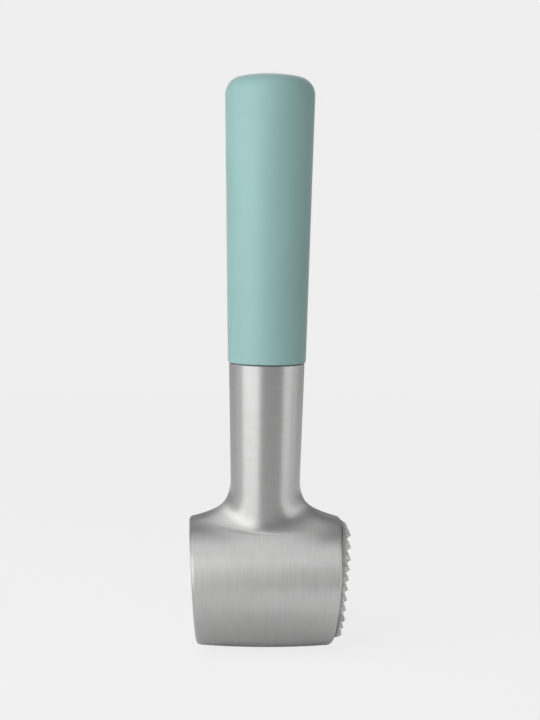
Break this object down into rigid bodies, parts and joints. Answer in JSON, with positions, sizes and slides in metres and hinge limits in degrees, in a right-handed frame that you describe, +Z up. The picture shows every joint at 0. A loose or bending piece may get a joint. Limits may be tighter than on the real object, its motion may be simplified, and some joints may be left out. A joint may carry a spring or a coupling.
{
  "type": "meat mallet",
  "caption": "Steel meat mallet: drum-shaped head with a flat face and a pyramid-toothed face, a slim flared neck and a straight tapering soft-touch handle.",
  "frame": {"origin": "on the surface that the toe of the head stands on, under the middle of the object's outline", "axes": "+Z up the handle, +X along the head's drum towards the toothed face, +Y across, away from the picture's viewer"},
  "size_m": [0.0624, 0.051, 0.222],
  "materials": {
    "brushed_head": "stainless steel, brushed round the drum and finely sanded along the neck",
    "cast_teeth": "stainless steel, grainy as cast",
    "turned_steel": "turned steel",
    "zinc_plate": "zinc-plated steel",
    "soft_grip": "matte soft-touch thermoplastic rubber, pale blue-green",
    "core_plastic": "moulded polypropylene, natural white",
    "silicone_seal": "dark silicone rubber"
  },
  "bodies": {
    "root": {"head_body": "brushed_head", "smooth_face": "brushed_head", "toothed_face": "cast_teeth", "neck_plug": "turned_steel", "stud": "zinc_plate", "flat_washer": "zinc_plate", "spring_washer": "zinc_plate", "hex_nut": "zinc_plate", "seal_ring": "silicone_seal", "handle_core": "core_plastic", "core_plug": "core_plastic", "grip_sleeve": "soft_grip"}
  },
  "joints": []
}
